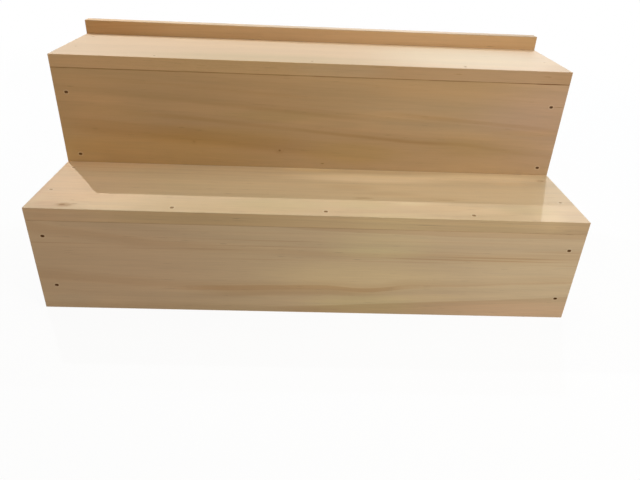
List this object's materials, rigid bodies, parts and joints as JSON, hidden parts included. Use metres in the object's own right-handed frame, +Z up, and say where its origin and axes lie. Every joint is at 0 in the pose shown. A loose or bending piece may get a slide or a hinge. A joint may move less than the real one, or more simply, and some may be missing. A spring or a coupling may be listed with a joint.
{
  "type": "countertop display riser",
  "caption": "Two-step countertop riser of nailed pine boards, with a lip at the back of the upper shelf and an open back and underside.",
  "frame": {"origin": "middle of the footprint, on the surface that the riser stands on", "axes": "+X along the boards to the viewer's right, -Y towards the front of the steps, +Z up"},
  "size_m": [0.76, 0.3454, 0.345],
  "materials": {
    "lower_front_pine": "planed and sanded pine, no finish",
    "lower_shelf_pine": "planed and sanded pine, no finish",
    "upper_front_pine": "planed and sanded pine, no finish",
    "upper_shelf_pine": "planed and sanded pine, no finish",
    "back_lip_pine": "planed and sanded pine, no finish",
    "frame_pine": "planed and sanded pine, no finish",
    "nail_steel": "dull plated wire"
  },
  "bodies": {
    "root": {"lower_front": "lower_front_pine", "lower_shelf": "lower_shelf_pine", "upper_front": "upper_front_pine", "upper_shelf": "upper_shelf_pine", "back_lip": "back_lip_pine", "left_side": "frame_pine", "right_side": "frame_pine", "rear_rail": "frame_pine", "lower_front_nails": "nail_steel", "upper_front_nails": "nail_steel", "lower_shelf_front_nails": "nail_steel", "lower_shelf_end_nails": "nail_steel", "upper_shelf_front_nails": "nail_steel", "upper_shelf_end_nails": "nail_steel", "step_nails": "nail_steel", "lip_nails": "nail_steel", "rail_nails": "nail_steel"}
  },
  "joints": []
}
